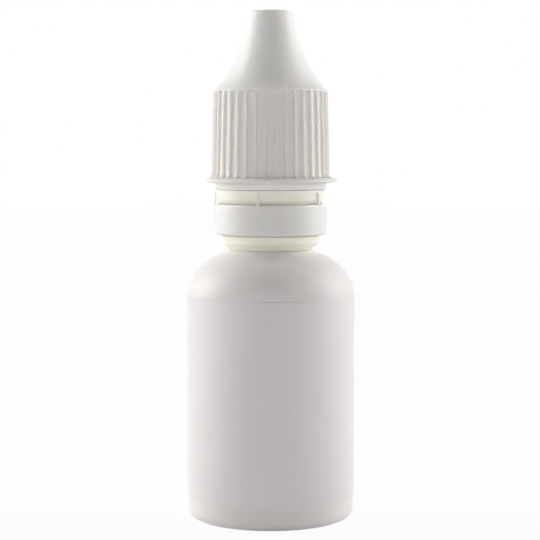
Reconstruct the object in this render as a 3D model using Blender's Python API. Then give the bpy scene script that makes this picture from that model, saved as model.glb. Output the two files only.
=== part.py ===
"""Squeeze dropper bottle for eye drops: bottle, label, push-on neck collar, neck seal, dropper tip,
tamper ring, screw cap and cap seal.

Metres, +Z up. The origin is the middle of the foot. The Z axis is the axis of every turned piece, of
the screw motion of the cap and of the turn of the ring. The front of the bottle faces -Y.
"""

import math

import bmesh
import bpy
from mathutils import Matrix, Vector

# Clearances and steps that several pieces share
FIT_GAP = 0.0003
CUT_OVERRUN = 0.00015
MERGE_DISTANCE = 0.0000001
ROUND_STEPS = 2
CURVE_STEPS = 8
INNER_CURVE_STEPS = 4
SEGMENTS = 48
FINE_SEGMENTS = 36
CAP_SEGMENTS = 72
SHARP_ANGLE = math.radians(32)

# Bottle body
BODY_RADIUS = 0.0134
BODY_HEIGHT = 0.0362
BODY_WALL = 0.001
FOOT_CORNER = 0.0016
FOOT_LAND = 0.0024
BASE_RECESS = 0.0009
BASE_WALL = 0.0012
SHOULDER_HEIGHT = 0.00725
SHOULDER_STEP = 0.00085
shoulder_bend_share = 0.65

# Bottle neck, with the bead that the collar is pushed over
NECK_RADIUS = 0.00575
NECK_WALL = 0.00095
BEAD_DEPTH = 0.00055
BEAD_WIDTH = 0.0012
BEAD_RISE = 0.0037

# Label film round the body
LABEL_THICKNESS = 0.0001
LABEL_GAP = 0.00005
LABEL_FOOT = 0.0037
LABEL_MARGIN = 0.0002
LABEL_SEAM = 0.0014

# Neck collar: a ledge at its foot, the groove that the ring turns in, a flange with a ramp that the
# ring is pushed over, and a threaded barrel
GROOVE_WALL = 0.0006
LEDGE_WIDTH = 0.0007
LEDGE_HEIGHT = 0.00205
LEDGE_UNDERCUT = 0.0008
LEDGE_UNDERCUT_WIDTH = 0.00105
FLANGE_THICKNESS = 0.0013
FLANGE_RAMP = 0.0009
BARREL_WALL = 0.00085
COLLAR_LIP = 0.001
COLLAR_HEADROOM = 0.0051

# Neck seal and dropper tip
SEAL_THICKNESS = 0.0007
TIP_FLANGE = 0.001
TIP_WALL = 0.0008
PLUG_DEPTH = 0.0058
SPOUT_FOOT_RADIUS = 0.004
SPOUT_END_RADIUS = 0.0015
SPOUT_ROUNDING = 0.00055
SPOUT_END_WALL = 0.0023
METERING_RADIUS = 0.00035
MOUTH_DEPTH = 0.0013

# Tamper ring, with the stubs of the bridges that joined it to the cap
RING_WALL = 0.00085
RING_HEIGHT = 0.0049
RING_LIP_HEIGHT = 0.0011
RING_SKIRT = 0.0002
RING_CHAMFER = 0.00035
RING_PLAY = 0.00075
STUB_COUNT = 5
STUB_WIDTH = 0.00055
STUB_THICKNESS = 0.00018
STUB_GAP = 0.00012
STUB_BEARING = math.radians(-103)

# Screw thread of collar and cap
THREAD_PITCH = 0.003
THREAD_DEPTH = 0.0007
THREAD_FOOT_WIDTH = 0.0011
THREAD_CREST_WIDTH = 0.0005
THREAD_CLEARANCE = 0.00035
THREAD_RISE = 0.0041
COLLAR_TURNS = 1.5
CAP_TURNS = 1.25
CAP_THREAD_LEAD = math.radians(-90)
THREAD_FADE = math.radians(36)
THREAD_STEP = math.radians(15)

# Screw cap
CAP_RIM_WALL = 0.0009
CAP_RIM_HEIGHT = 0.0009
BRIM_TILT = 0.00035
BRIM_EDGE = 0.00025
BRIM_RISE = 0.0008
BRIM_WIDTH = 0.0013
BRIM_ROUNDING = 0.0001
brim_bend_share = 0.3
SKIRT_HEIGHT = 0.0135
SKIRT_FOOT_WALL = 0.001
SKIRT_TOP_WALL = 0.00065
NOSE_HEIGHT = 0.01265
NOSE_TOP_RADIUS = 0.0035
NOSE_ROUNDING = 0.00045
NOSE_FOOT_ROUNDING = 0.00025
NOSE_WALL = 0.00115
CROWN_WALL = 0.0014
INNER_FLARE_DROP = 0.0015
flare_bend_shares = (0.34, 0.74)
RIB_COUNT = 36
RIB_HEIGHT = 0.00055
RIB_FOOT_WIDTH = 0.00036
RIB_TIP_WIDTH = 0.00014
VALLEY_LIFT = 0.0004
VALLEY_LIP = 0.0001
VALLEY_ARCH = 0.0006
VALLEY_ARCH_STEPS = 4

# Cap seal
CAP_SEAL_THICKNESS = 0.0018
PIN_LENGTH = 0.0009

# Radii, from the neck outwards
NECK_BORE = NECK_RADIUS - NECK_WALL
BEAD_RADIUS = NECK_RADIUS + BEAD_DEPTH
BARREL_BORE = NECK_RADIUS + FIT_GAP
BEAD_BORE = BEAD_RADIUS + FIT_GAP
GROOVE_RADIUS = BEAD_BORE + GROOVE_WALL
LEDGE_RADIUS = GROOVE_RADIUS + LEDGE_WIDTH
BARREL_RADIUS = BARREL_BORE + BARREL_WALL
RING_BORE = LEDGE_RADIUS + FIT_GAP
RING_RADIUS = RING_BORE + RING_WALL
STUB_BORE = RING_RADIUS - STUB_THICKNESS
FLANGE_RADIUS = STUB_BORE - STUB_GAP
CAP_BORE = BARREL_RADIUS + THREAD_DEPTH + THREAD_CLEARANCE
SKIRT_FOOT_RADIUS = CAP_BORE + SKIRT_FOOT_WALL
SKIRT_TOP_RADIUS = CAP_BORE + SKIRT_TOP_WALL
BRIM_RADIUS = SKIRT_FOOT_RADIUS + RIB_HEIGHT + BRIM_WIDTH
PIN_RADIUS = METERING_RADIUS

# Heights, from the foot upwards
SHOULDER_TOP = BODY_HEIGHT + SHOULDER_HEIGHT
COLLAR_FOOT = SHOULDER_TOP + FIT_GAP
LEDGE_TOP = COLLAR_FOOT + LEDGE_HEIGHT
RING_FOOT = LEDGE_TOP + FIT_GAP - RING_SKIRT
FLANGE_FOOT = RING_FOOT + RING_HEIGHT + RING_PLAY
FLANGE_TOP = FLANGE_FOOT + FLANGE_THICKNESS
CAP_FOOT = FLANGE_TOP + FIT_GAP
BRIM_FOOT = CAP_FOOT + CAP_RIM_HEIGHT + BRIM_TILT
BRIM_TOP = BRIM_FOOT + BRIM_EDGE
SKIRT_FOOT = BRIM_TOP + BRIM_RISE
SKIRT_TOP = SKIRT_FOOT + SKIRT_HEIGHT
CAP_TOP = SKIRT_TOP + NOSE_HEIGHT
COLLAR_TOP = SKIRT_TOP - COLLAR_HEADROOM
TIP_FLANGE_TOP = COLLAR_TOP - COLLAR_LIP - FIT_GAP
TIP_FLANGE_FOOT = TIP_FLANGE_TOP - TIP_FLANGE
NECK_SEAL_FOOT = TIP_FLANGE_FOOT - FIT_GAP - SEAL_THICKNESS
NECK_TOP = NECK_SEAL_FOOT - FIT_GAP
CAP_SEAL_TOP = CAP_TOP - CROWN_WALL - FIT_GAP
CAP_SEAL_FOOT = CAP_SEAL_TOP - CAP_SEAL_THICKNESS
SPOUT_TOP = CAP_SEAL_FOOT - FIT_GAP
BEAD_FOOT = COLLAR_FOOT + BEAD_RISE

# Axial distance between the middles of the two threads, with FIT_GAP between their loaded flanks
FLANK_SLOPE = (THREAD_FOOT_WIDTH - THREAD_CREST_WIDTH) / (2 * THREAD_DEPTH)
THREAD_OFFSET = THREAD_FOOT_WIDTH - FLANK_SLOPE * (CAP_BORE - BARREL_RADIUS) + FIT_GAP
THREAD_FOOT = FLANGE_TOP + THREAD_RISE

WHITE_POLYTHENE = ((0.86, 0.86, 0.85), 0.42)
NATURAL_POLYTHENE = ((0.86, 0.83, 0.70), 0.38)
WHITE_POLYPROPYLENE = ((0.88, 0.88, 0.87), 0.36)
LABEL_FILM = ((0.87, 0.87, 0.87), 0.30)
SOFT_ELASTOMER = ((0.72, 0.73, 0.74), 0.60)


def clear_scene():
    for old in list(bpy.data.objects):
        bpy.data.objects.remove(old, do_unlink=True)


def material(name, finish):
    colour, roughness = finish
    made = bpy.data.materials.new(name)
    made.use_nodes = True
    shader = made.node_tree.nodes["Principled BSDF"]
    shader.inputs["Base Color"].default_value = (*colour, 1.0)
    shader.inputs["Roughness"].default_value = roughness
    shader.inputs["Metallic"].default_value = 0.0
    made.diffuse_color = (*colour, 1.0)
    return made


def curve(start, bend, end, steps=CURVE_STEPS):
    """Points of the parabola from start to end whose end tangents meet at bend."""
    start, bend, end = Vector(start), Vector(bend), Vector(end)
    points = []
    for step in range(steps + 1):
        share = step / steps
        points.append(start.lerp(bend, share).lerp(bend.lerp(end, share), share))
    return points


def rounded(corners):
    """A closed outline in which each corner (radius, height, rounding) becomes an arc."""
    points = []
    for index, corner in enumerate(corners):
        here = Vector(corner[:2])
        if len(corner) == 2:
            points.append(here)
            continue
        back = Vector(corners[index - 1][:2]) - here
        ahead = Vector(corners[(index + 1) % len(corners)][:2]) - here
        half_angle = back.angle(ahead) / 2
        longest = min(back.length, ahead.length) / 2
        reach = min(corner[2] / math.tan(half_angle), longest)
        back.normalize()
        ahead.normalize()
        centre = here + (back + ahead).normalized() * (reach / math.cos(half_angle))
        first = here + back * reach - centre
        last = here + ahead * reach - centre
        for step in range(ROUND_STEPS + 1):
            spoke = first.lerp(last, step / ROUND_STEPS).normalized()
            points.append(centre + spoke * first.length)
    return points


def mesh_object(name, build, finish=None, smooth=True):
    """A new object from a bmesh that is welded and has its faces turned outwards."""
    bmesh.ops.remove_doubles(build, verts=build.verts, dist=MERGE_DISTANCE)
    bmesh.ops.recalc_face_normals(build, faces=build.faces)
    mesh = bpy.data.meshes.new(name)
    build.to_mesh(mesh)
    build.free()
    if smooth:
        mesh.shade_smooth()
        mesh.set_sharp_from_angle(angle=SHARP_ANGLE)
    made = bpy.data.objects.new(name, mesh)
    bpy.context.scene.collection.objects.link(made)
    if finish:
        mesh.materials.append(material(name, finish))
    return made


def turned(name, outline, finish, segments=SEGMENTS):
    """An outline of (radius, height) points spun once round the Z axis. It is a closed loop, or a
    line whose two ends lie on the axis."""
    build = bmesh.new()
    line = [build.verts.new((radius, 0, height)) for radius, height in outline]
    edges = [build.edges.new(pair) for pair in zip(line, line[1:])]
    if outline[0][0] > 0:
        edges.append(build.edges.new((line[-1], line[0])))
    bmesh.ops.spin(
        build,
        geom=line + edges,
        cent=(0, 0, 0),
        axis=(0, 0, 1),
        angle=2 * math.pi,
        steps=segments,
        use_merge=True,
    )
    return mesh_object(name, build, finish)


def loft(build, sections):
    """Skin a row of equal polygons and cap both ends."""
    rings = [[build.verts.new(point) for point in section] for section in sections]
    for ring, following in zip(rings, rings[1:]):
        for index in range(len(ring)):
            after = (index + 1) % len(ring)
            build.faces.new((ring[index], ring[after], following[after], following[index]))
    build.faces.new(rings[0])
    build.faces.new(rings[-1])


def at_bearing(bearing, radius, across, height):
    """The point at a radius and height that lies across, to the left, of a bearing about Z."""
    return Matrix.Rotation(bearing, 3, "Z") @ Vector((radius, across, height))


def tool(made):
    """Mark an object as one that only cuts or adds to another."""
    made.hide_render = True
    made.display_type = "WIRE"
    return made


def combine(target, other, operation):
    step = target.modifiers.new(other.name, "BOOLEAN")
    step.operation = operation
    step.solver = "EXACT"
    step.object = tool(other)
    other.parent = target


def place(made, height, parent=None):
    """Stand a piece at its height, either in the scene or under the empty that marks its joint."""
    if parent:
        made.parent = parent
        height -= parent.location.z
    made.location = (0, 0, height)
    return made


def joint_axis(name, height):
    axis = bpy.data.objects.new(name, None)
    axis.empty_display_type = "SINGLE_ARROW"
    axis.empty_display_size = RING_RADIUS
    axis.location = (0, 0, height)
    bpy.context.scene.collection.objects.link(axis)
    return axis


def thread(name, wall_radius, crest_radius, first_angle, turns):
    """A right-hand trapezoidal ridge on a wall. Its crest fades into the wall at both ends.
    Heights count from the middle of the ridge at angle zero."""
    inwards = math.copysign(CUT_OVERRUN, wall_radius - crest_radius)
    sweep = turns * 2 * math.pi
    steps = round(sweep / THREAD_STEP)
    build = bmesh.new()
    sections = []
    for step in range(steps + 1):
        run = sweep * step / steps
        angle = first_angle + run
        rise = THREAD_PITCH * angle / (2 * math.pi)
        full = min(1, run / THREAD_FADE, (sweep - run) / THREAD_FADE)
        crest = wall_radius + (crest_radius - wall_radius) * full - inwards * (1 - full) / 2
        foot = wall_radius + inwards
        foot_half = THREAD_FOOT_WIDTH / 2 + FLANK_SLOPE * CUT_OVERRUN
        crest_half = THREAD_CREST_WIDTH / 2
        corners = ((foot, -foot_half), (foot, foot_half), (crest, crest_half), (crest, -crest_half))
        sections.append([at_bearing(angle, radius, 0, rise + height) for radius, height in corners])
    loft(build, sections)
    return mesh_object(name, build, smooth=False)


def make_bottle():
    foot_outer = BODY_RADIUS - FOOT_CORNER
    foot_inner = foot_outer - FOOT_LAND
    inner_radius = BODY_RADIUS - BODY_WALL
    floor = BASE_RECESS + BASE_WALL
    bend = BODY_HEIGHT + SHOULDER_HEIGHT * shoulder_bend_share
    inner_top = SHOULDER_TOP - BODY_WALL
    inner_bend = BODY_HEIGHT + (inner_top - BODY_HEIGHT) * shoulder_bend_share
    shoulder_radius = NECK_RADIUS + SHOULDER_STEP
    outside = rounded(
        [
            (0, BASE_RECESS),
            (foot_inner - BASE_RECESS, BASE_RECESS),
            (foot_inner, 0),
            (BODY_RADIUS, 0, FOOT_CORNER),
            (BODY_RADIUS, BODY_HEIGHT),
        ]
    )
    shoulder = curve(
        (BODY_RADIUS, BODY_HEIGHT), (BODY_RADIUS, bend), (shoulder_radius, SHOULDER_TOP)
    )
    neck = [
        (NECK_RADIUS, SHOULDER_TOP),
        (NECK_RADIUS, BEAD_FOOT),
        (BEAD_RADIUS, BEAD_FOOT + BEAD_DEPTH / 2),
        (BEAD_RADIUS, BEAD_FOOT + BEAD_WIDTH / 2),
        (NECK_RADIUS, BEAD_FOOT + BEAD_WIDTH),
        (NECK_RADIUS, NECK_TOP),
        (NECK_BORE, NECK_TOP),
        (NECK_BORE, inner_top),
    ]
    inner_shoulder = curve(
        (NECK_BORE, inner_top), (inner_radius, inner_bend), (inner_radius, BODY_HEIGHT), INNER_CURVE_STEPS
    )
    inside = rounded([(inner_radius, BODY_HEIGHT), (inner_radius, floor, FOOT_CORNER), (0, floor)])
    outline = [*outside, *shoulder[1:], *neck, *inner_shoulder[1:], *inside[1:]]
    return place(turned("bottle", outline, WHITE_POLYTHENE), 0)


def make_label():
    inner = BODY_RADIUS + LABEL_GAP
    outer = inner + LABEL_THICKNESS
    height = BODY_HEIGHT - LABEL_MARGIN - LABEL_FOOT
    outline = [(inner, 0), (outer, 0), (outer, height), (inner, height)]
    film = place(turned("label", outline, LABEL_FILM), LABEL_FOOT)
    build = bmesh.new()
    reach = BODY_RADIUS
    bmesh.ops.create_cube(build, size=1)
    bmesh.ops.scale(build, verts=build.verts, vec=(LABEL_SEAM, reach, height + 2 * CUT_OVERRUN))
    bmesh.ops.translate(build, verts=build.verts, vec=(0, reach, height / 2))
    combine(film, mesh_object("label_seam_cut", build, smooth=False), "DIFFERENCE")
    return film


def make_collar():
    foot = [
        (BARREL_BORE, 0),
        (LEDGE_RADIUS - LEDGE_UNDERCUT_WIDTH, 0),
        (LEDGE_RADIUS, LEDGE_UNDERCUT),
        (LEDGE_RADIUS, LEDGE_HEIGHT),
        (GROOVE_RADIUS, LEDGE_HEIGHT),
    ]
    flange_foot = FLANGE_FOOT - COLLAR_FOOT
    flange_top = FLANGE_TOP - COLLAR_FOOT
    flange = [
        (GROOVE_RADIUS, flange_foot),
        (FLANGE_RADIUS, flange_foot),
        (FLANGE_RADIUS - FLANGE_RAMP, flange_top),
        (BARREL_RADIUS, flange_top),
    ]
    top = COLLAR_TOP - COLLAR_FOOT
    mouth = SPOUT_FOOT_RADIUS + FIT_GAP
    barrel = [
        (BARREL_RADIUS, top - COLLAR_LIP / 2),
        (BARREL_RADIUS - COLLAR_LIP / 2, top),
        (mouth, top),
        (mouth, top - COLLAR_LIP),
        (BARREL_BORE, top - COLLAR_LIP),
    ]
    catch = BEAD_RISE - FIT_GAP
    relief = BEAD_RISE + BEAD_WIDTH + FIT_GAP
    bore = [
        (BARREL_BORE, relief),
        (BEAD_BORE, relief - BEAD_DEPTH / 2),
        (BEAD_BORE, catch),
        (BARREL_BORE, catch),
    ]
    collar = place(turned("neck_collar", foot + flange + barrel + bore, NATURAL_POLYTHENE), COLLAR_FOOT)
    ridge = thread("collar_thread", BARREL_RADIUS, BARREL_RADIUS + THREAD_DEPTH, 0, COLLAR_TURNS)
    combine(collar, ridge, "UNION")
    ridge.location.z = THREAD_FOOT - COLLAR_FOOT
    return collar


def make_neck_seal():
    inner = NECK_BORE
    outline = [(inner, 0), (NECK_RADIUS, 0), (NECK_RADIUS, SEAL_THICKNESS), (inner, SEAL_THICKNESS)]
    return place(turned("neck_seal", outline, SOFT_ELASTOMER, FINE_SEGMENTS), NECK_SEAL_FOOT)


def make_dropper_tip():
    plug_radius = NECK_BORE - FIT_GAP
    hollow = plug_radius - TIP_WALL
    flange_top = TIP_FLANGE
    end = SPOUT_TOP - TIP_FLANGE_FOOT
    mouth = PIN_RADIUS + FIT_GAP
    throat = mouth + FIT_GAP
    outline = rounded(
        [
            (hollow, -PLUG_DEPTH),
            (plug_radius, -PLUG_DEPTH, TIP_WALL / 4),
            (plug_radius, 0),
            (NECK_RADIUS, 0),
            (NECK_RADIUS, flange_top),
            (SPOUT_FOOT_RADIUS, flange_top),
            (SPOUT_FOOT_RADIUS, flange_top + COLLAR_LIP + FIT_GAP),
            (SPOUT_END_RADIUS, end, SPOUT_ROUNDING),
            (mouth, end),
            (mouth, end - MOUTH_DEPTH),
            (METERING_RADIUS, end - MOUTH_DEPTH),
            (METERING_RADIUS, end - SPOUT_END_WALL),
            (throat, end - SPOUT_END_WALL),
            (hollow, flange_top),
        ]
    )
    return place(turned("dropper_tip", outline, NATURAL_POLYTHENE, FINE_SEGMENTS), TIP_FLANGE_FOOT)


def make_tamper_ring(axis):
    lip_radius = GROOVE_RADIUS + FIT_GAP
    outline = [
        (RING_BORE, 0),
        (RING_RADIUS - RING_CHAMFER, 0),
        (RING_RADIUS, RING_CHAMFER),
        (RING_RADIUS, RING_HEIGHT - RING_CHAMFER),
        (RING_RADIUS - RING_CHAMFER, RING_HEIGHT),
        (RING_BORE, RING_HEIGHT),
        (RING_BORE, RING_SKIRT + RING_LIP_HEIGHT + FIT_GAP),
        (lip_radius, RING_SKIRT + RING_LIP_HEIGHT),
        (lip_radius, RING_SKIRT),
        (RING_BORE, RING_SKIRT),
    ]
    ring = place(turned("tamper_ring", outline, WHITE_POLYPROPYLENE), RING_FOOT, axis)
    stub_top = FLANGE_TOP - RING_FOOT
    stub_foot = RING_HEIGHT - RING_CHAMFER - CUT_OVERRUN
    half = STUB_WIDTH / 2
    slope = STUB_WIDTH / 4
    build = bmesh.new()
    for number in range(STUB_COUNT):
        bearing = STUB_BEARING + number * 2 * math.pi / STUB_COUNT
        sections = []
        for height, half_width in ((stub_foot, half + slope), (RING_HEIGHT, half + slope), (stub_top, half)):
            corners = ((STUB_BORE, -half_width), (RING_RADIUS, -half_width))
            corners += ((RING_RADIUS, half_width), (STUB_BORE, half_width))
            sections.append([at_bearing(bearing, radius, across, height) for radius, across in corners])
        loft(build, sections)
    combine(ring, mesh_object("ring_stubs", build, smooth=False), "UNION")
    return ring


def flare(top_radius, top, foot_radius, foot, steps=CURVE_STEPS):
    """The hollow-sided curve of the nose, from its top down to the skirt."""
    bend_radius = top_radius + (foot_radius - top_radius) * flare_bend_shares[0]
    bend_height = top - (top - foot) * flare_bend_shares[1]
    return curve((top_radius, top), (bend_radius, bend_height), (foot_radius, foot), steps)


def valley_section(bearing, depth):
    """The outline of one valley between two grip ribs, at a depth outside its floor: straight sides,
    which leave ribs of even width, under an arch."""
    rib_width = RIB_FOOT_WIDTH + (RIB_TIP_WIDTH - RIB_FOOT_WIDTH) * depth / RIB_HEIGHT
    arch_foot = SKIRT_TOP - VALLEY_LIP - VALLEY_ARCH
    sides = [(-1, BRIM_TOP + VALLEY_LIFT), (1, BRIM_TOP + VALLEY_LIFT)]
    for step in range(VALLEY_ARCH_STEPS + 1):
        turn = math.pi * step / VALLEY_ARCH_STEPS
        sides.append((math.cos(turn), arch_foot + VALLEY_ARCH * math.sin(turn)))
    section = []
    for side, height in sides:
        draft = (SKIRT_FOOT_RADIUS - SKIRT_TOP_RADIUS) * (height - SKIRT_FOOT) / SKIRT_HEIGHT
        radius = SKIRT_FOOT_RADIUS - draft + depth
        half_width = radius * math.tan(math.pi / RIB_COUNT) - rib_width / 2
        section.append(at_bearing(bearing, radius, side * half_width, height - CAP_FOOT))
    return section


def make_valleys():
    """The cutter for the valleys of the skirt, which leaves the grip ribs between them."""
    build = bmesh.new()
    for number in range(RIB_COUNT):
        bearing = number * 2 * math.pi / RIB_COUNT
        depths = (0, RIB_HEIGHT + CUT_OVERRUN)
        loft(build, [valley_section(bearing, depth) for depth in depths])
    return mesh_object("skirt_valleys", build, smooth=False)


def make_cap(axis):
    rim_radius = CAP_BORE + CAP_RIM_WALL
    brim_foot = BRIM_FOOT - CAP_FOOT
    brim_top = BRIM_TOP - CAP_FOOT
    skirt_foot = SKIRT_FOOT - CAP_FOOT
    skirt_top = SKIRT_TOP - CAP_FOOT
    top = CAP_TOP - CAP_FOOT
    foot_radius = SKIRT_FOOT_RADIUS + RIB_HEIGHT
    top_radius = SKIRT_TOP_RADIUS + RIB_HEIGHT
    skirt = [
        (CAP_BORE, 0),
        (rim_radius, 0),
        (rim_radius, CAP_RIM_HEIGHT),
        (BRIM_RADIUS, brim_foot, BRIM_ROUNDING),
        (BRIM_RADIUS, brim_top, BRIM_ROUNDING),
    ]
    brim_bend = (foot_radius + BRIM_WIDTH * brim_bend_share, brim_top + BRIM_RISE * brim_bend_share)
    flank = curve((BRIM_RADIUS, brim_top), brim_bend, (foot_radius, skirt_foot), ROUND_STEPS + 1)
    skirt += [*flank[1:], (top_radius, skirt_top, NOSE_FOOT_ROUNDING)]
    nose = flare(NOSE_TOP_RADIUS, top - NOSE_ROUNDING, top_radius, skirt_top)
    crown = [(NOSE_TOP_RADIUS - NOSE_ROUNDING / 4, top, NOSE_ROUNDING), (0, top)]
    inner_top = top - CROWN_WALL
    inner_foot = skirt_top - INNER_FLARE_DROP
    inner_radius = NOSE_TOP_RADIUS - NOSE_WALL
    hollow = [(0, inner_top), *flare(inner_radius, inner_top, CAP_BORE, inner_foot, INNER_CURVE_STEPS)]
    outline = rounded([*hollow, *skirt, *nose[-2::-1], *crown])
    cap = place(turned("screw_cap", outline, WHITE_POLYPROPYLENE, CAP_SEGMENTS), CAP_FOOT, axis)
    combine(cap, make_valleys(), "DIFFERENCE")
    ridge = thread("cap_thread", CAP_BORE, CAP_BORE - THREAD_DEPTH, CAP_THREAD_LEAD, CAP_TURNS)
    combine(cap, ridge, "UNION")
    ridge.location.z = THREAD_FOOT - THREAD_OFFSET - CAP_FOOT
    return cap


def make_cap_seal(axis):
    radius = NOSE_TOP_RADIUS - NOSE_WALL - FIT_GAP
    pin_top = PIN_LENGTH + FIT_GAP
    height = pin_top + CAP_SEAL_THICKNESS
    outline = [
        (0, 0),
        (PIN_RADIUS, 0),
        (PIN_RADIUS, pin_top),
        (radius, pin_top),
        (radius, height),
        (0, height),
    ]
    seal = turned("cap_seal", outline, SOFT_ELASTOMER, FINE_SEGMENTS)
    return place(seal, CAP_SEAL_FOOT - pin_top, axis)


def main():
    clear_scene()
    make_bottle()
    make_label()
    make_collar()
    make_neck_seal()
    make_dropper_tip()
    make_tamper_ring(joint_axis("ring_turn_axis", RING_FOOT))
    cap_axis = joint_axis("cap_screw_axis", CAP_FOOT)
    make_cap(cap_axis)
    make_cap_seal(cap_axis)


main()
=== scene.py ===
"""Looks of the squeeze dropper bottle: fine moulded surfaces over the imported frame, plastics that
let a little light through, a pale floor, a soft light tent and the camera.

Metres, +Z up, in the frame of the CAD model. The front faces -Y. Each piece is a surface of two
parameters on a grid: a turned profile along one, the angle about the Z axis along the other.
"""

import math

import bpy
import numpy as np
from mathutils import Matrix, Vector


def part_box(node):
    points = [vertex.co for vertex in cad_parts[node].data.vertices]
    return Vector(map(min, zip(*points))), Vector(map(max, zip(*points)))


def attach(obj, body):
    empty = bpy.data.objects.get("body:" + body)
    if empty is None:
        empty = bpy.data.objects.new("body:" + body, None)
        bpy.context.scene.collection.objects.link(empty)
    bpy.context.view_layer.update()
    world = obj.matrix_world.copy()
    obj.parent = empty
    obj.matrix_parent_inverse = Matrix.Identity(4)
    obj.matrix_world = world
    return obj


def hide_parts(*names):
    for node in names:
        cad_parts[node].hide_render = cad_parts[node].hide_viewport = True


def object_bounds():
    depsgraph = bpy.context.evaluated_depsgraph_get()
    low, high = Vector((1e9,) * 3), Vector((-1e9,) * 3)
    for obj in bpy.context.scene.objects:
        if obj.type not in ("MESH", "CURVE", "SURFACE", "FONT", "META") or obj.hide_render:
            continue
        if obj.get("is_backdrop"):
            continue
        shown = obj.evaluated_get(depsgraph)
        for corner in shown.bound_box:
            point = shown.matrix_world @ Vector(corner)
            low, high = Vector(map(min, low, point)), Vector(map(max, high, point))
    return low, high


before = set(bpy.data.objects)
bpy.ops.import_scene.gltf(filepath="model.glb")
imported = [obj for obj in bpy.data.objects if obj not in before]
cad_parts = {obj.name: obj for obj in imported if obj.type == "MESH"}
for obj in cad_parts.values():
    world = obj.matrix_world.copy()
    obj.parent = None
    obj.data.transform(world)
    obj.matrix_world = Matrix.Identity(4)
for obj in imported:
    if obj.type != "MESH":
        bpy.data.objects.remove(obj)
cad_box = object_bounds()

TURN = 2 * math.pi

# Sizes that the frame gives
BOTTLE_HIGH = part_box("bottle")[1]
LABEL_LOW, LABEL_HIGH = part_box("label")
COLLAR_LOW, COLLAR_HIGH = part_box("neck_collar")
SEAL_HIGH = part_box("neck_seal")[1]
TIP_LOW, TIP_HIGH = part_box("dropper_tip")
RING_LOW, RING_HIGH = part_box("tamper_ring")
CAP_LOW, CAP_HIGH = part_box("screw_cap")
BODY_RADIUS = BOTTLE_HIGH.x
BRIM_RADIUS = CAP_HIGH.x
RING_RADIUS = RING_HIGH.x

# Bottle
BODY_WALL = 0.001
BODY_HEIGHT = 0.0362
SHOULDER_TOP = COLLAR_LOW.z - 0.0003
SHOULDER_RADIUS = 0.0066
FOOT_CORNER = 0.0016
FOOT_INNER = 0.0094
BASE_RECESS = 0.0009
BASE_WALL = 0.0012
NECK_RADIUS = SEAL_HIGH.x
NECK_WALL = 0.00095
BEAD_RADIUS = 0.0063
BEAD_FOOT = COLLAR_LOW.z + 0.0037
BEAD_WIDTH = 0.0012
PARTING_WIDTH = 0.00012
PARTING_HEIGHT = 0.00003
shoulder_bend_share = 0.65

# Label film
LABEL_GAP = 0.00005
LABEL_SEAM = 0.0014

# Neck collar
COLLAR_GAP = 0.00002
COLLAR_FOOT = SHOULDER_TOP + COLLAR_GAP
LEDGE_RADIUS = 0.0079
LEDGE_HEIGHT = 0.00205
LEDGE_UNDERCUT = 0.0008
LEDGE_FOOT_RADIUS = 0.0067
GROOVE_RADIUS = 0.0072
GROOVE_ROUND = 0.0008
FLANGE_TOP = RING_HIGH.z
CAP_GAP = 0.00006
RAMP_TOP = CAP_LOW.z - CAP_GAP
FLANGE_THICKNESS = 0.0013
FLANGE_RADIUS = 0.00875
FLANGE_RAMP = 0.00003
BARREL_RADIUS = 0.0069
BARREL_BORE = 0.00605
BEAD_BORE = 0.0066
COLLAR_LIP = 0.001
COLLAR_MOUTH = 0.0043

# Screw thread
THREAD_PITCH = 0.003
THREAD_DEPTH = 0.0007
THREAD_FOOT_WIDTH = 0.0011
THREAD_CREST_WIDTH = 0.0005
THREAD_OFFSET = 0.00095
THREAD_FOOT = FLANGE_TOP + 0.0041
THREAD_FADE = math.radians(36)
COLLAR_TURNS = 1.5
CAP_TURNS = 1.25
CAP_THREAD_LEAD = math.radians(-90)

# Dropper tip
PLUG_RADIUS = 0.0045
TIP_HOLLOW = 0.0037
TIP_FLANGE = 0.001
TIP_FLANGE_FOOT = SEAL_HIGH.z + 0.0003
SPOUT_FOOT_RADIUS = 0.004
SPOUT_END_RADIUS = 0.0015
SPOUT_ROUNDING = 0.00055
MOUTH_RADIUS = 0.00065
MOUTH_DEPTH = 0.0013
METERING_RADIUS = 0.00035
SPOUT_END_WALL = 0.0023
THROAT_RADIUS = 0.00095

# Tamper ring
RING_BORE = 0.0082
RING_HEIGHT = 0.0049
RING_TOP = RING_LOW.z + RING_HEIGHT
RING_SKIRT = 0.0002
RING_LIP_HEIGHT = 0.0011
RING_LIP_RADIUS = 0.0075
RING_CHAMFER = 0.00035
STUB_COUNT = 5
STUB_WIDTH = 0.00055
STUB_THICKNESS = 0.00018
STUB_BEARING = math.radians(-103)
STUB_ROWS = 20
STUB_COLUMNS = 32
STUB_FOOT_SHARE = 0.55
STUB_TAPER = 0.15
STUB_TAPER_RISE = 0.35
STUB_END_STARTS = 0.88
STUB_END_FALL = 0.98
STUB_SQUARENESS = 0.6

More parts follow.
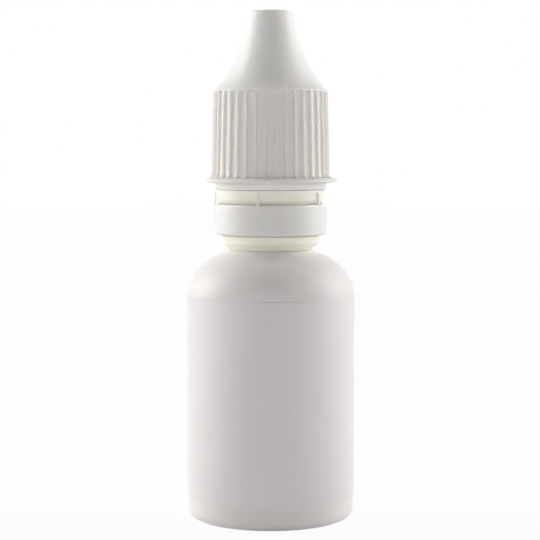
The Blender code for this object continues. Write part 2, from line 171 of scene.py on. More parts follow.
# Screw cap
CAP_BORE = 0.00795
CAP_RIM_RADIUS = 0.00885
CAP_RIM_HEIGHT = 0.0009
BRIM_TILT = 0.00035
BRIM_EDGE = 0.00025
BRIM_FOOT = CAP_LOW.z + CAP_RIM_HEIGHT + BRIM_TILT
BRIM_TOP = BRIM_FOOT + BRIM_EDGE
BRIM_RISE = 0.0008
SKIRT_FOOT = BRIM_TOP + BRIM_RISE
SKIRT_TOP = 0.06895
TIP_FOOT_RADIUS = 0.0095
TIP_TOP_RADIUS = 0.00915
RIB_COUNT = 36
RIB_HEIGHT = 0.0004
RIB_FOOT_WIDTH = 0.00036
RIB_TIP_WIDTH = 0.00022
RIB_TIP_SHARES = (0, 0.8, 1)
RIB_FOOT_SHARES = (1, 1.4, 2.4)
VALLEY_LIFT = 0.0004
VALLEY_LIP = 0.0001
VALLEY_ARCH = 0.0006
NOSE_TOP_RADIUS = 0.0035
NOSE_ROUNDING = 0.0004
NOSE_FOOT_ROUNDING = 0.0003
NOSE_WALL = 0.00115
CROWN_WALL = 0.0014
INNER_FLARE_DROP = 0.0015
flare_bend_shares = (0.34, 0.74)
brim_bend_share = 0.3

# Small roundings of moulded edges
EDGE = 0.00012
SOFT_EDGE = 0.0003
CRISP_EDGE = 0.00003
PROFILE_SPACING = 0.0008
LEAST_SHARE = 0.001
CORNER_STEPS = 5
SHARP_ANGLE = math.radians(50)
BODY_BEARINGS = 288
NECK_BEARINGS = 240
TIP_BEARINGS = 144
FLOOR_BEARINGS = 96

# How deep light passes into the plastics, and how deep their skin is
WHITE_DEPTH = 0.0002
NATURAL_DEPTH = 0.0004
SKIN_DEPTH = 0.00004
THROUGH_SHARES = (1.0, 0.92, 0.8)

# What the surfaces reflect: plain plastic, and the waxy one of collar and tip
PLAIN_GLOSS = {"IOR": 1.49}
WAXY_GLOSS = {"IOR": 1.7, "Coat Weight": 1.0, "Coat Roughness": 0.3, "Coat IOR": 1.7}

# Colours: each material's own and that of its clouds, with painted light for the film's edges
WHITE_PE_COLOURS = ((0.90, 0.86, 0.85), (0.885, 0.845, 0.835))
WHITE_PP_COLOURS = ((0.935, 0.903, 0.872), (0.92, 0.888, 0.857))
NATURAL_COLOURS = ((0.99, 0.96, 0.83), (0.98, 0.945, 0.81))
FILM_COLOURS = ((0.90, 0.872, 0.86), (0.885, 0.857, 0.845))
# Painted light along the film's edges: a paler colour that lightens their shade lines
PAINTED_EDGE_LIGHT = (0.94, 0.92, 0.91)
SEAL_COLOURS = ((0.70, 0.71, 0.72), (0.77, 0.77, 0.78))
FILM_ROUGHNESS = 0.38
FILM_GRAIN = 0.12
SEAL_ROUGHNESS = 0.55
SEAL_GRAIN = 0.3

# Patterns of the finishes: features a metre, how they are drawn out, and the range that shows
CLOUD_SCALE = 180
FLOW_SCALE = 900
SKIN_SCALE = 5200
SCUFF_SCALE = 2600
RIPPLE_SCALE = 120
WEB_SCALE = 1500
COAT_SCALE = 4200
BLOOM_SCALE = 3000
FLOW_STRETCH = (1, 1, 0.06)
SCUFF_STRETCH = (1, 1, 0.35)
WEB_STRETCH = (0.08, 0.08, 1)
CLOUD_RANGE = (0.35, 0.7)
SCUFF_RANGE = (0.62, 0.78)
WEB_RANGE = (0.3, 0.7)

# Camera and light tent, metres and strengths
PHOTO_SIZE = 540
CAMERA_DISTANCE = 0.275
CAMERA_HEIGHT = 0.0594
CAMERA_AIM = Vector((-0.0001, 0, 0.04009))
FOCAL_PIXELS = 1705
SENSOR_WIDTH = 36
TENT_FRONT = 1.7
TENT_SIDE = 1.9
SCREEN_LOW = 5.4
SCREEN_HIGH = 6.4
TENT_BACK = 0.7
LEFT_SHARE = 1.06
RIGHT_SHARE = 0.94
FLOOR_RADIUS = 1.5
FLOOR_ALBEDO = 0.72
FLOOR_WHITENESS = 0.93
WHITE = (1, 1, 1, 1)

# Where the walls of the tent change: the cosine of the angle from the back, and the rise
FRONT_ENDS = (-0.95, -0.6)
SIDE_STARTS = (-0.6, -0.2)
SCREEN_STARTS = (-0.1, 0.3)
BACK_STARTS = (0.4, 0.8)
LIFT = (0.15, 0.45)
TOP_STARTS = (0.6, 0.85)
MIDDLE = (-0.1, 0.1)
LEAST_LEVEL = 0.00012
BACKGROUND_RAYS = ("Is Camera Ray", "Is Glossy Ray", "Is Transmission Ray")


def smooth_step(low, high, value):
    share = np.clip((value - low) / (high - low), 0, 1)
    return share * share * (3 - 2 * share)


def curve(start, bend, end, steps=24):
    """Points of the parabola from start to end whose end tangents meet at bend."""
    share = np.linspace(0, 1, steps + 1)[:, None]
    start, bend, end = np.array(start), np.array(bend), np.array(end)
    return start * (1 - share) ** 2 + bend * 2 * share * (1 - share) + end * share**2


def profile(*parts):
    """A line of (radius, height) points. A part is a corner (radius, height), a rounded corner
    (radius, height, rounding) or an array of points."""
    corners = []
    for part in parts:
        corners += [tuple(row) for row in part] if isinstance(part, np.ndarray) else [part]
    points = []
    for index, corner in enumerate(corners):
        here = np.array(corner[:2], float)
        if len(corner) == 2:
            points.append(here)
            continue
        back = np.array(corners[index - 1][:2]) - here
        ahead = np.array(corners[(index + 1) % len(corners)][:2]) - here
        reach_limit = min(np.linalg.norm(back), np.linalg.norm(ahead)) / 2
        back /= np.linalg.norm(back)
        ahead /= np.linalg.norm(ahead)
        half = math.acos(np.clip(back @ ahead, -1, 1)) / 2
        reach = min(corner[2] / math.tan(half), reach_limit)
        middle = (back + ahead) / np.linalg.norm(back + ahead)
        centre = here + middle * reach / math.cos(half)
        radius = reach * math.tan(half)
        for step in range(CORNER_STEPS + 1):
            share = step / CORNER_STEPS
            spoke = here + reach * ((1 - share) * back + share * ahead) - centre
            points.append(centre + spoke / np.linalg.norm(spoke) * radius)
    return np.array(points)


def refined(points, low, high, spacing):
    """The same line with more points on the stretches of its runs that lie between the heights low
    and high."""
    fine = [points[0]]
    for before, after in zip(points, points[1:]):
        run = after - before
        if run[1]:
            start, end = sorted(np.clip((np.array([low, high]) - before[1]) / run[1], 0, 1))
        else:
            start, end = 0, float(low < before[1] < high)
        steps = math.ceil((end - start) * np.linalg.norm(run) / spacing)
        shares = np.linspace(start, end, steps + 1)
        inner = shares[(shares > LEAST_SHARE) & (shares < 1 - LEAST_SHARE)] if steps else []
        fine += [before + run * share for share in (*inner, 1)]
    return np.array(fine)


def mesh_piece(name, points, faces):
    """A new object from an array of points and rows of point numbers, one row a face."""
    loops = np.concatenate([np.asarray(block).ravel() for block in faces])
    sizes = np.concatenate([np.full(len(block), np.shape(block)[1]) for block in faces])
    starts = np.concatenate([[0], np.cumsum(sizes)[:-1]])
    mesh = bpy.data.meshes.new(name)
    mesh.vertices.add(len(points))
    mesh.vertices.foreach_set("co", np.asarray(points, np.float32).ravel())
    mesh.loops.add(len(loops))
    mesh.loops.foreach_set("vertex_index", loops.astype(np.int32))
    mesh.polygons.add(len(sizes))
    mesh.polygons.foreach_set("loop_start", starts.astype(np.int32))
    mesh.update(calc_edges=True)
    mesh.shade_smooth()
    mesh.set_sharp_from_angle(angle=SHARP_ANGLE)
    piece = bpy.data.objects.new(name, mesh)
    bpy.context.scene.collection.objects.link(piece)
    return piece


def grid_faces(rows, columns, closed_rows, closed_columns):
    """Quads of a grid of points whose number is row times columns plus column."""
    row = np.arange(rows if closed_rows else rows - 1)
    column = np.arange(columns if closed_columns else columns - 1)
    row, column = np.meshgrid(row, column, indexing="ij")
    down = (row + 1) % rows
    across = (column + 1) % columns
    here, below = row * columns, down * columns
    corners = (here + column, here + across, below + across, below + column)
    return np.stack(corners, axis=-1).reshape(-1, 4)


def spun(radius, height, bearing):
    """Points at arrays of radii, heights and bearings about Z."""
    points = (radius * np.cos(bearing), radius * np.sin(bearing), height)
    return np.stack(points, axis=-1).reshape(-1, 3)


def turned(name, line, bearings, shape=None):
    """The surface radius(row, bearing) * (cos bearing, sin bearing), height(row) of a line of
    (radius, height) points spun about Z. shape(radius, height, bearing) may change the radius.
    A line from axis to axis gets a point at both ends, and any other line is closed."""
    on_axis = abs(line[0][0]) < 1e-9
    if on_axis:
        ends = line[[0, -1]]
        line = line[1:-1]
    radius, bearing = np.meshgrid(line[:, 0], bearings, indexing="ij")
    height = np.repeat(line[:, 1:2], len(bearings), axis=1)
    if shape:
        radius = shape(radius, height, bearing)
    points = spun(radius, height, bearing)
    rows, columns = radius.shape
    faces = [grid_faces(rows, columns, not on_axis, True)]
    if on_axis:
        points = np.vstack([points, [[0, 0, ends[0][1]], [0, 0, ends[1][1]]]])
        column = np.arange(columns)
        after = (column + 1) % columns
        first = np.full(columns, rows * columns)
        last = (rows - 1) * columns
        faces.append(np.stack([first, after, column], axis=-1))
        faces.append(np.stack([first + 1, last + column, last + after], axis=-1))
    return mesh_piece(name, points, faces)


def even_bearings(count):
    return np.arange(count) * TURN / count


def thread_ridge(height, bearing, middle, lead, turns):
    """How far a right-hand trapezoidal thread stands out, from 0 to 1, at heights and bearings.
    middle is the height of its ridge at bearing zero."""
    ridge = np.zeros_like(height)
    crest_half = THREAD_CREST_WIDTH / 2
    foot_half = THREAD_FOOT_WIDTH / 2
    for lap in range(-1, math.ceil(turns) + 1):
        angle = bearing % TURN + lap * TURN
        run = angle - lead
        fade = smooth_step(0, THREAD_FADE, run) * smooth_step(0, THREAD_FADE, turns * TURN - run)
        away = np.abs(height - middle - THREAD_PITCH * angle / TURN)
        ridge = np.maximum(ridge, fade * (1 - smooth_step(crest_half, foot_half, away)))
    return ridge


def make_bottle():
    inner_radius = BODY_RADIUS - BODY_WALL
    floor = BASE_RECESS + BASE_WALL
    inner_top = SHOULDER_TOP - BODY_WALL
    neck_bore = NECK_RADIUS - NECK_WALL
    bend = BODY_HEIGHT + (SHOULDER_TOP - BODY_HEIGHT) * shoulder_bend_share
    inner_bend = BODY_HEIGHT + (inner_top - BODY_HEIGHT) * shoulder_bend_share
    shoulder = curve(
        (BODY_RADIUS, BODY_HEIGHT), (BODY_RADIUS, bend), (SHOULDER_RADIUS, SHOULDER_TOP)
    )
    inner_shoulder = curve(
        (neck_bore, inner_top), (inner_radius, inner_bend), (inner_radius, BODY_HEIGHT)
    )
    line = profile(
        (0, BASE_RECESS),
        (FOOT_INNER - BASE_RECESS, BASE_RECESS, SOFT_EDGE),
        (FOOT_INNER, 0, SOFT_EDGE),
        (BODY_RADIUS, 0, FOOT_CORNER),
        shoulder,
        (NECK_RADIUS, SHOULDER_TOP, EDGE),
        (NECK_RADIUS, BEAD_FOOT),
        (BEAD_RADIUS, BEAD_FOOT + BEAD_WIDTH / 4, EDGE),
        (BEAD_RADIUS, BEAD_FOOT + BEAD_WIDTH / 2, EDGE),
        (NECK_RADIUS, BEAD_FOOT + BEAD_WIDTH),
        (NECK_RADIUS, BOTTLE_HIGH.z, SOFT_EDGE),
        (neck_bore, BOTTLE_HIGH.z, SOFT_EDGE),
        inner_shoulder,
        (inner_radius, floor, FOOT_CORNER),
        (0, floor),
    )
    line = refined(line, 0, SHOULDER_TOP, PROFILE_SPACING)

    def shape(radius, height, bearing):
        """The parting line of the blow mould, a faint ridge at both sides, on the outer wall."""
        outer = smooth_step(inner_radius, BODY_RADIUS, radius) * smooth_step(0, FOOT_CORNER, height)
        ridge = np.exp(-((np.sin(bearing) * radius / PARTING_WIDTH) ** 2))
        return radius + PARTING_HEIGHT * ridge * outer

    return turned("bottle_body", line, even_bearings(BODY_BEARINGS), shape)


def make_label():
    """The film: a thin band with round edges, open at the back, whose ends are capped."""
    inner = BODY_RADIUS + LABEL_GAP
    outer = LABEL_HIGH.x
    line = profile(
        (outer, LABEL_LOW.z, (outer - inner) / 3),
        (outer, LABEL_HIGH.z, (outer - inner) / 3),
        (inner, LABEL_HIGH.z),
        (inner, LABEL_LOW.z),
    )
    half_gap = LABEL_SEAM / 2 / outer
    bearings = np.linspace(math.pi / 2 + half_gap, TURN + math.pi / 2 - half_gap, BODY_BEARINGS + 1)
    radius, bearing = np.meshgrid(line[:, 0], bearings, indexing="ij")
    height = np.repeat(line[:, 1:2], len(bearings), axis=1)
    points = spun(radius, height, bearing)
    rows, columns = radius.shape
    row = np.arange(rows)
    caps = [(row * columns)[None, :], (row * columns + columns - 1)[None, ::-1]]
    return mesh_piece("label_film", points, [grid_faces(rows, columns, True, False), *caps])


def make_collar():
    line = profile(
        (BARREL_BORE, COLLAR_FOOT, EDGE),
        (LEDGE_FOOT_RADIUS, COLLAR_FOOT, CRISP_EDGE),
        (LEDGE_RADIUS, COLLAR_LOW.z + LEDGE_UNDERCUT, SOFT_EDGE),
        (LEDGE_RADIUS, COLLAR_LOW.z + LEDGE_HEIGHT, EDGE),
        (GROOVE_RADIUS, COLLAR_LOW.z + LEDGE_HEIGHT, EDGE),
        (GROOVE_RADIUS, RING_TOP - GROOVE_ROUND),
        (RING_BORE - EDGE, RING_TOP),
        (RING_BORE + EDGE, RING_TOP + EDGE),
        (FLANGE_RADIUS, FLANGE_TOP - FLANGE_THICKNESS, EDGE),
        (FLANGE_RADIUS - FLANGE_RAMP, RAMP_TOP, CRISP_EDGE),
        (BARREL_RADIUS, RAMP_TOP, EDGE),
        (BARREL_RADIUS, COLLAR_HIGH.z - COLLAR_LIP / 2, SOFT_EDGE),
        (BARREL_RADIUS - COLLAR_LIP / 2, COLLAR_HIGH.z, SOFT_EDGE),
        (COLLAR_MOUTH, COLLAR_HIGH.z, EDGE),
        (COLLAR_MOUTH, COLLAR_HIGH.z - COLLAR_LIP, EDGE),
        (BARREL_BORE, COLLAR_HIGH.z - COLLAR_LIP, EDGE),
        (BARREL_BORE, BEAD_FOOT + BEAD_WIDTH),
        (BEAD_BORE, BEAD_FOOT + BEAD_WIDTH / 2),
        (BEAD_BORE, BEAD_FOOT),
        (BARREL_BORE, BEAD_FOOT),
    )
    thread_low = THREAD_FOOT - THREAD_FOOT_WIDTH
    line = refined(line, thread_low, COLLAR_HIGH.z - COLLAR_LIP, THREAD_PITCH / 30)

    def shape(radius, height, bearing):
        ridge = thread_ridge(height, bearing, THREAD_FOOT, 0, COLLAR_TURNS)
        return radius + np.where(radius > BARREL_RADIUS - EDGE / 4, THREAD_DEPTH * ridge, 0)

    return turned("collar_moulding", line, even_bearings(NECK_BEARINGS), shape)


def make_tip():
    flange_top = TIP_FLANGE_FOOT + TIP_FLANGE
    line = profile(
        (TIP_HOLLOW, TIP_LOW.z, EDGE),
        (PLUG_RADIUS, TIP_LOW.z, SOFT_EDGE),
        (PLUG_RADIUS, TIP_FLANGE_FOOT, EDGE),
        (NECK_RADIUS, TIP_FLANGE_FOOT, EDGE),
        (NECK_RADIUS, flange_top, EDGE),
        (SPOUT_FOOT_RADIUS, flange_top, EDGE),
        (SPOUT_FOOT_RADIUS, flange_top + COLLAR_LIP + SOFT_EDGE, SOFT_EDGE),
        (SPOUT_END_RADIUS, TIP_HIGH.z, SPOUT_ROUNDING),
        (MOUTH_RADIUS, TIP_HIGH.z, EDGE),
        (MOUTH_RADIUS, TIP_HIGH.z - MOUTH_DEPTH, EDGE),
        (METERING_RADIUS, TIP_HIGH.z - MOUTH_DEPTH, EDGE),
        (METERING_RADIUS, TIP_HIGH.z - SPOUT_END_WALL),
        (THROAT_RADIUS, TIP_HIGH.z - SPOUT_END_WALL),
        (TIP_HOLLOW, flange_top),
    )
    line = refined(line, flange_top, TIP_HIGH.z, PROFILE_SPACING)
    return turned("tip_spout", line, even_bearings(TIP_BEARINGS))


def make_ring():
    line = profile(
        (RING_BORE, RING_LOW.z, EDGE),
        (RING_RADIUS, RING_LOW.z, RING_CHAMFER),
        (RING_RADIUS, RING_TOP, RING_CHAMFER),
        (RING_BORE, RING_TOP, EDGE),
        (RING_BORE, RING_LOW.z + RING_SKIRT + RING_LIP_HEIGHT + SOFT_EDGE),
        (RING_LIP_RADIUS, RING_LOW.z + RING_SKIRT + RING_LIP_HEIGHT, EDGE),
        (RING_LIP_RADIUS, RING_LOW.z + RING_SKIRT, EDGE),
        (RING_BORE, RING_LOW.z + RING_SKIRT),
    )
    line = refined(line, RING_LOW.z, RING_TOP, PROFILE_SPACING)
    return turned("ring_band", line, even_bearings(NECK_BEARINGS))


def make_stub(number):
    """The stub of a broken bridge: a post on the ring that narrows upwards to a torn, rounded end.
    Its section at each height is a rounded oblong."""
    bearing = STUB_BEARING + number * TURN / STUB_COUNT
    foot = RING_TOP - RING_CHAMFER
    rise = np.linspace(0, 1, STUB_ROWS)
    rise, around = np.meshgrid(rise, even_bearings(STUB_COLUMNS), indexing="ij")
    end = np.sqrt(1 - smooth_step(STUB_END_STARTS, 1, rise) * STUB_END_FALL)
    width_share = STUB_FOOT_SHARE - STUB_TAPER * smooth_step(0, STUB_TAPER_RISE, rise)
    half_width = STUB_WIDTH * width_share * end
    half_depth = STUB_THICKNESS / 2 * end
    oblong = np.maximum(np.abs(np.cos(around)), np.abs(np.sin(around))) ** -STUB_SQUARENESS
    across = half_width * np.cos(around) * oblong
    out = RING_RADIUS - STUB_THICKNESS / 2 + half_depth * np.sin(around) * oblong
    height = foot + (RING_HIGH.z - foot) * rise
    x = out * math.cos(bearing) + across * math.sin(bearing)
    y = out * math.sin(bearing) - across * math.cos(bearing)
    points = np.stack([x, y, height], axis=-1).reshape(-1, 3)
    rows, columns = rise.shape
    column = np.arange(columns)
    caps = [column[None, ::-1], ((rows - 1) * columns + column)[None, :]]
    faces = [grid_faces(rows, columns, False, True), *caps]
    return mesh_piece(f"bridge_stub_{number + 1}", points, faces)


def rib_bearings():
    """Bearings that crowd round the flanks of each grip rib."""
    middle_radius = (TIP_FOOT_RADIUS + TIP_TOP_RADIUS) / 2
    tip_half = RIB_TIP_WIDTH / 2
    foot_half = RIB_FOOT_WIDTH / 2
    near_tip = tip_half * np.array(RIB_TIP_SHARES)
    near_foot = foot_half * np.array(RIB_FOOT_SHARES)
    offsets = np.concatenate([near_tip, [(tip_half + foot_half) / 2], near_foot]) / middle_radius
    offsets = np.concatenate([-offsets[:0:-1], offsets])
    ribs = (np.arange(RIB_COUNT) + 0.5) * TURN / RIB_COUNT
    return (ribs[:, None] + offsets[None, :]).ravel()


def make_cap():
    foot = CAP_LOW.z
    top = CAP_HIGH.z
    brim_width = BRIM_RADIUS - TIP_FOOT_RADIUS
    brim_bend_radius = TIP_FOOT_RADIUS + brim_width * brim_bend_share
    brim_bend = (brim_bend_radius, BRIM_TOP + BRIM_RISE * brim_bend_share)
    flank = curve((BRIM_RADIUS, BRIM_TOP), brim_bend, (TIP_FOOT_RADIUS, SKIRT_FOOT), 10)
    bend_radius = NOSE_TOP_RADIUS + (TIP_TOP_RADIUS - NOSE_TOP_RADIUS) * flare_bend_shares[0]
    nose_top = top - NOSE_ROUNDING
    bend_height = nose_top - (nose_top - SKIRT_TOP) * flare_bend_shares[1]
    nose = curve(
        (TIP_TOP_RADIUS, SKIRT_TOP), (bend_radius, bend_height), (NOSE_TOP_RADIUS, nose_top), 40
    )
    inner_top = top - CROWN_WALL
    inner_foot = SKIRT_TOP - INNER_FLARE_DROP
    inner_radius = NOSE_TOP_RADIUS - NOSE_WALL
    inner_bend_radius = inner_radius + (CAP_BORE - inner_radius) * flare_bend_shares[0]
    inner_bend_height = inner_top - (inner_top - inner_foot) * flare_bend_shares[1]
    inner_bend = (inner_bend_radius, inner_bend_height)
    hollow = curve((inner_radius, inner_top), inner_bend, (CAP_BORE, inner_foot), 16)
    skirt = profile(
        (0, inner_top),
        hollow,
        (CAP_BORE, foot, EDGE),
        (CAP_RIM_RADIUS, foot, CRISP_EDGE),
        (CAP_RIM_RADIUS, foot + CAP_RIM_HEIGHT, EDGE),
        (BRIM_RADIUS, BRIM_FOOT, BRIM_EDGE / 2),
        (BRIM_RADIUS, BRIM_TOP, BRIM_EDGE / 2),
        flank[1:],
        (TIP_TOP_RADIUS, SKIRT_TOP, NOSE_FOOT_ROUNDING),
        nose[1:],
        (NOSE_TOP_RADIUS - NOSE_ROUNDING / 4, top, NOSE_ROUNDING),
        (0, top),
    )
    wall_middle = (CAP_BORE + CAP_RIM_RADIUS) / 2
    first_outside = int(np.argmax(skirt[:, 0] > wall_middle))
    inside_line, outside_line = skirt[:first_outside], skirt[first_outside:]
    thread_low = THREAD_FOOT - THREAD_OFFSET - THREAD_PITCH / 2
    thread_high = THREAD_FOOT + THREAD_PITCH
    inside_line = refined(inside_line, thread_low, thread_high, THREAD_PITCH / 20)
    arch_foot = SKIRT_TOP - VALLEY_LIP - VALLEY_ARCH
    arch_low = arch_foot - VALLEY_ARCH
    outside_line = refined(outside_line, arch_low, SKIRT_TOP + EDGE, VALLEY_ARCH / 10)
    outside_line = refined(outside_line, BRIM_TOP, SKIRT_FOOT, EDGE)
    outside_line = refined(outside_line, SKIRT_FOOT, arch_foot, PROFILE_SPACING * 2)
    line = np.vstack([inside_line, outside_line])

    def shape(radius, height, bearing):
        """Valleys between the grip ribs, cut into the outside, and the thread on the inside."""
        pitch = TURN / RIB_COUNT
        from_rib = np.abs((bearing / pitch) % 1 - 0.5) * pitch * radius
        valley = smooth_step(RIB_TIP_WIDTH / 2, RIB_FOOT_WIDTH / 2, from_rib)
        half_valley = (pitch * radius - RIB_FOOT_WIDTH) / 2
        from_middle = np.clip((pitch * radius / 2 - from_rib) / half_valley, 0, 1)
        arch = arch_foot + VALLEY_ARCH * np.sqrt(1 - from_middle**2)
        below = 1 - smooth_step(-VALLEY_ARCH / 4, VALLEY_ARCH / 4, height - arch)
        above = smooth_step(-EDGE, EDGE, height - BRIM_TOP - VALLEY_LIFT)
        slope = (TIP_TOP_RADIUS - TIP_FOOT_RADIUS) / (SKIRT_TOP - SKIRT_FOOT)
        floor = TIP_FOOT_RADIUS + slope * (height - SKIRT_FOOT) - RIB_HEIGHT
        outside = radius > wall_middle
        cut = np.where(outside & (radius > floor), (radius - floor) * valley * below * above, 0)
        middle = THREAD_FOOT - THREAD_OFFSET
        ridge = thread_ridge(height, bearing, middle, CAP_THREAD_LEAD, CAP_TURNS)
        bore = ~outside & (np.abs(radius - CAP_BORE) < EDGE)
        return radius - cut - np.where(bore, THREAD_DEPTH * ridge, 0)

    return turned("cap_moulding", line, rib_bearings(), shape)


class Socket:
    """A shader output, with arithmetic that adds Math nodes."""

    def __init__(self, tree, socket):
        self.tree = tree
        self.socket = socket

    def node(self, kind, output, inputs, **settings):
        """Any node of this tree: inputs maps input names or numbers to values or sockets."""
        made = self.tree.nodes.new(kind)
        for key, value in settings.items():
            setattr(made, key, value)
        for key, value in inputs.items():
            if isinstance(value, Socket):
                self.tree.links.new(value.socket, made.inputs[key])
            else:
                made.inputs[key].default_value = value
        return Socket(self.tree, made.outputs[output])

    def math(self, operation, left, right=0.0, third=0.0):
        inputs = {0: left, 1: right, 2: third}
        return self.node("ShaderNodeMath", 0, inputs, operation=operation)

    def __add__(self, other):
        return self.math("ADD", self, other)

    def __radd__(self, other):
        return self.math("ADD", other, self)

    def __sub__(self, other):
        return self.math("SUBTRACT", self, other)

    def __rsub__(self, other):
        return self.math("SUBTRACT", other, self)

    def __mul__(self, other):
        return self.math("MULTIPLY", self, other)

    def __rmul__(self, other):
        return self.math("MULTIPLY", other, self)

    def __truediv__(self, other):
        return self.math("DIVIDE", self, other)

    def between(self, low, high):
        """0 below low, 1 above high and smooth in between."""
        inputs = {"Value": self, "From Min": low, "From Max": high}
        return self.node("ShaderNodeMapRange", "Result", inputs, interpolation_type="SMOOTHSTEP")

    def mix(self, first, second):
        """The colour first where this is 0 and second where it is 1."""
        first, second = (
            colour if isinstance(colour, Socket) else (*colour, 1) for colour in (first, second)
        )
        return self.node("ShaderNodeMix", 2, {0: self, 6: first, 7: second}, data_type="RGBA")


def new_material(name):
    made = bpy.data.materials.new(name)
    made.use_nodes = True
    tree = made.node_tree
    shader = tree.nodes["Principled BSDF"]
    place = tree.nodes.new("ShaderNodeTexCoord")
    return made, tree, shader, Socket(tree, place.outputs["Object"])


def noise(place, scale, detail=3.0, roughness=0.55, stretch=None):
    """Noise from 0 to 1 with scale features a metre, drawn out by stretch along each axis."""
    if stretch:
        place = place.node("ShaderNodeMapping", 0, {"Vector": place, "Scale": stretch})
    inputs = {"Vector": place, "Scale": scale, "Detail": detail, "Roughness": roughness}
    return place.node("ShaderNodeTexNoise", 0, inputs)


def give_finish(tree, shader, colour, rough, height, grain, values):
    """Link a colour, a roughness and a skin to a shader, and set its other values by name. The skin
    is a bump of SKIN_DEPTH times grain from a height pattern."""
    bump = {"Strength": grain, "Distance": SKIN_DEPTH, "Height": height}
    normal = height.node("ShaderNodeBump", 0, bump)
    for name, value in (("Base Color", colour), ("Roughness", rough), ("Normal", normal)):
        tree.links.new(value.socket, shader.inputs[name])
    for name, value in values.items():
        shader.inputs[name].default_value = value


def moulded_plastic(name, colours, roughness, grain, through, depth, gloss=PLAIN_GLOSS):
    """Moulded plastic: a cloudy colour, a roughness that varies in patches and upright flow lines,
    a fine orange-peel skin, and light that passes into it to a depth (metres)."""
    made, tree, shader, place = new_material(name)
    clouds = noise(place, CLOUD_SCALE, detail=4)
    flow = noise(place, FLOW_SCALE, detail=2, stretch=FLOW_STRETCH)
    skin = noise(place, SKIN_SCALE, detail=2)
    scuffs = noise(place, SCUFF_SCALE, detail=5, roughness=0.75, stretch=SCUFF_STRETCH)
    scuffs = scuffs.between(*SCUFF_RANGE)
    colour = (clouds * 0.7 + flow * 0.3).between(*CLOUD_RANGE).mix(*colours)
    rough = roughness + (clouds - 0.5) * 0.12 + scuffs * 0.10 + (flow - 0.5) * 0.06
    height = skin * 0.6 + flow * 0.4 + clouds * 2.0
    inside = {
        "Subsurface Weight": through,
        "Subsurface Radius": THROUGH_SHARES,
        "Subsurface Scale": depth,
    }
    give_finish(tree, shader, colour, rough, height, grain, {**inside, **gloss})
    return made


def label_film(name):
    """Coated film: plain white, with fine drawn lines along the web, slight ripples where it lies
    on the bottle, and painted light along its top and bottom edges, a paler colour that lightens
    their shade lines."""
    made, tree, shader, place = new_material(name)
    ripples = noise(place, RIPPLE_SCALE, detail=2)
    web = noise(place, WEB_SCALE, detail=3, stretch=WEB_STRETCH)
    coat = noise(place, COAT_SCALE, detail=3)
    split = place.node("ShaderNodeSeparateXYZ", 2, {0: place})
    near_foot = 1.0 - split.between(LABEL_LOW.z, LABEL_LOW.z + EDGE)
    near_top = split.between(LABEL_HIGH.z - EDGE, LABEL_HIGH.z)
    edge = near_foot + near_top
    colour = (web * 0.5 + ripples * 0.5).between(*WEB_RANGE).mix(*FILM_COLOURS)
    # Painted light: a paler colour along both edges of the film lightens the shade lines there
    colour = (edge * 0.5).mix(colour, PAINTED_EDGE_LIGHT)
    rough = FILM_ROUGHNESS + (coat - 0.5) * 0.10 + (web - 0.5) * 0.08
    height = coat * 0.5 + web * 0.5 + ripples * 4.0
    give_finish(tree, shader, colour, rough, height, FILM_GRAIN, PLAIN_GLOSS)
    return made


def elastomer(name):
    """Soft seal: matt grey with a fine powdery bloom."""
    made, tree, shader, place = new_material(name)
    bloom = noise(place, BLOOM_SCALE, detail=5, roughness=0.7)
    colour = bloom.between(*CLOUD_RANGE).mix(*SEAL_COLOURS)
    give_finish(tree, shader, colour, SEAL_ROUGHNESS + bloom * 0.15, bloom, SEAL_GRAIN, {})
    return made


def dress(piece, body, material, slot, *nodes):
    """Give a new piece its material, its body and the CAD nodes it stands for. The argument slot is
    not used.
    """
    piece.data.materials.append(material)
    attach(piece, body)
    if nodes:
        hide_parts(*nodes)


def make_pieces():
    white_pe = moulded_plastic(
        "white_polythene",
        WHITE_PE_COLOURS,
        roughness=0.42,
        grain=0.35,
        through=0.8,
        depth=WHITE_DEPTH,
    )
    white_pp = moulded_plastic(
        "white_polypropylene",
        WHITE_PP_COLOURS,
        roughness=0.36,
        grain=0.3,
        through=0.8,
        depth=WHITE_DEPTH,
    )
    natural_pe = moulded_plastic(
        "natural_polythene",
        NATURAL_COLOURS,
        roughness=0.38,
        grain=0.3,
        through=0.3,
        depth=NATURAL_DEPTH,
        gloss=WAXY_GLOSS,
    )
    soft = elastomer("soft_elastomer")
    dress(make_bottle(), "bottle_assembly", white_pe, "white_polythene", "bottle")
    dress(make_label(), "bottle_assembly", label_film("label_film"), "label_film", "label")
    dress(make_collar(), "bottle_assembly", natural_pe, "natural_polythene", "neck_collar")
    dress(make_tip(), "bottle_assembly", natural_pe, "natural_polythene", "dropper_tip")
    dress(make_ring(), "ring", white_pp, "white_polypropylene", "tamper_ring")
    for number in range(STUB_COUNT):
        dress(make_stub(number), "ring", white_pp, "white_polypropylene")
    dress(make_cap(), "cap", white_pp, "white_polypropylene", "screw_cap")
    for node in ("neck_seal", "cap_seal"):
        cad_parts[node].data.materials.clear()
        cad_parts[node].data.materials.append(soft)


def sees_background(tree):
    """1 for the rays that show the background: from the camera, in reflections and through the
    object."""
    path = tree.nodes.new("ShaderNodeLightPath")
    rays = [Socket(tree, path.outputs[name]) for name in BACKGROUND_RAYS]
    return rays[0].math("MAXIMUM", rays[0].math("MAXIMUM", rays[0], rays[1]), rays[2])


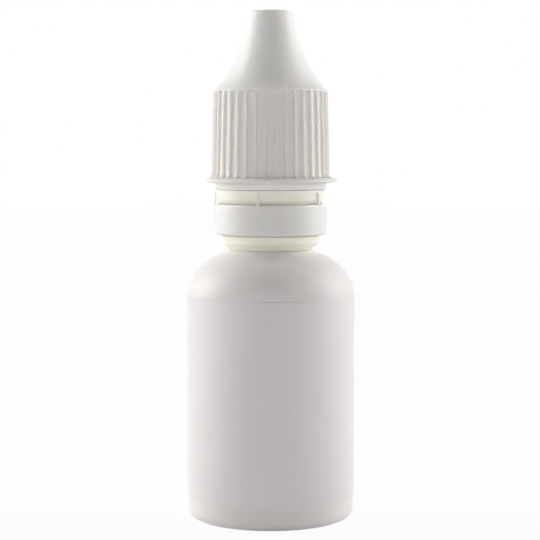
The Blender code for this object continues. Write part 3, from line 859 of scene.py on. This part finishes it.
def make_floor():
    """A pale floor that the camera sees as white. It is lit as any surface, so it keeps the shadow
    of the bottle."""
    angle = even_bearings(FLOOR_BEARINGS)
    points = np.stack([np.cos(angle), np.sin(angle), np.zeros_like(angle)], axis=-1) * FLOOR_RADIUS
    floor = mesh_piece("floor", points, [np.arange(FLOOR_BEARINGS)[None, :]])
    made = bpy.data.materials.new("floor_white")
    made.use_nodes = True
    tree = made.node_tree
    shader = tree.nodes["Principled BSDF"]
    seen = sees_background(tree)
    paper = seen.mix((FLOOR_ALBEDO, FLOOR_ALBEDO, FLOOR_ALBEDO), WHITE[:3])
    tree.links.new(paper.socket, shader.inputs["Base Color"])
    shader.inputs["Roughness"].default_value = 0.9
    shader.inputs["Specular IOR Level"].default_value = 0.1
    white = tree.nodes.new("ShaderNodeEmission")
    choice = tree.nodes.new("ShaderNodeMixShader")
    tree.links.new((seen * FLOOR_WHITENESS).socket, choice.inputs[0])
    tree.links.new(shader.outputs[0], choice.inputs[1])
    tree.links.new(white.outputs[0], choice.inputs[2])
    tree.links.new(choice.outputs[0], tree.nodes["Material Output"].inputs[0])
    floor.data.materials.append(made)
    floor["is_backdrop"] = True


def make_tent():
    """The light tent: two screens a little behind the sides, brighter high up, dim walls low in
    front and at the sides, a dim back and a dark top. What the camera and reflections see of it is
    plain white."""
    world = bpy.data.worlds.new("light_tent")
    bpy.context.scene.world = world
    world.use_nodes = True
    tree = world.node_tree
    tree.nodes.clear()
    place = tree.nodes.new("ShaderNodeTexCoord")
    direction = Socket(tree, place.outputs["Generated"])
    split = tree.nodes.new("ShaderNodeSeparateXYZ")
    tree.links.new(direction.socket, split.inputs[0])
    sideways = Socket(tree, split.outputs[0])
    depth = Socket(tree, split.outputs[1])
    rise = Socket(tree, split.outputs[2])
    level = 1.0 - rise * rise
    level = level.math("SQRT", level.math("MAXIMUM", level, LEAST_LEVEL))
    around = depth / level
    front = 1.0 - around.between(*FRONT_ENDS)
    side = around.between(*SIDE_STARTS) - around.between(*SCREEN_STARTS)
    back = around.between(*BACK_STARTS)
    screen = around.between(*SCREEN_STARTS) - back
    low = front * TENT_FRONT + side * TENT_SIDE + screen * SCREEN_LOW
    high = screen * SCREEN_HIGH + back * TENT_BACK
    wall = low + rise.between(*LIFT) * (high - low)
    balance = LEFT_SHARE + sideways.between(*MIDDLE) * (RIGHT_SHARE - LEFT_SHARE)
    strength = wall * (1.0 - rise.between(*TOP_STARTS)) * balance
    light = tree.nodes.new("ShaderNodeBackground")
    light.inputs["Color"].default_value = WHITE
    tree.links.new(strength.socket, light.inputs["Strength"])
    white = tree.nodes.new("ShaderNodeBackground")
    white.inputs["Color"].default_value = WHITE
    choice = tree.nodes.new("ShaderNodeMixShader")
    tree.links.new(sees_background(tree).socket, choice.inputs[0])
    tree.links.new(light.outputs[0], choice.inputs[1])
    tree.links.new(white.outputs[0], choice.inputs[2])
    out = tree.nodes.new("ShaderNodeOutputWorld")
    tree.links.new(choice.outputs[0], out.inputs[0])


def make_camera():
    data = bpy.data.cameras.new("camera")
    data.sensor_width = SENSOR_WIDTH
    data.lens = FOCAL_PIXELS / PHOTO_SIZE * SENSOR_WIDTH
    data.clip_start = CAMERA_DISTANCE / 100
    camera = bpy.data.objects.new("camera", data)
    camera.location = (CAMERA_AIM.x, -CAMERA_DISTANCE, CAMERA_HEIGHT)
    camera.rotation_euler = (CAMERA_AIM - camera.location).to_track_quat("-Z", "Y").to_euler()
    bpy.context.scene.collection.objects.link(camera)
    bpy.context.scene.camera = camera


def note_sizes():
    """Work out the box of the CAD model and the box of the dressed one, as lists of corners."""
    boxes = {"cad": cad_box, "visual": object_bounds()}
    boxes = {name: [list(corner) for corner in box] for name, box in boxes.items()}


make_pieces()
make_floor()
make_tent()
make_camera()
bpy.context.scene.view_settings.view_transform = "Standard"
note_sizes()
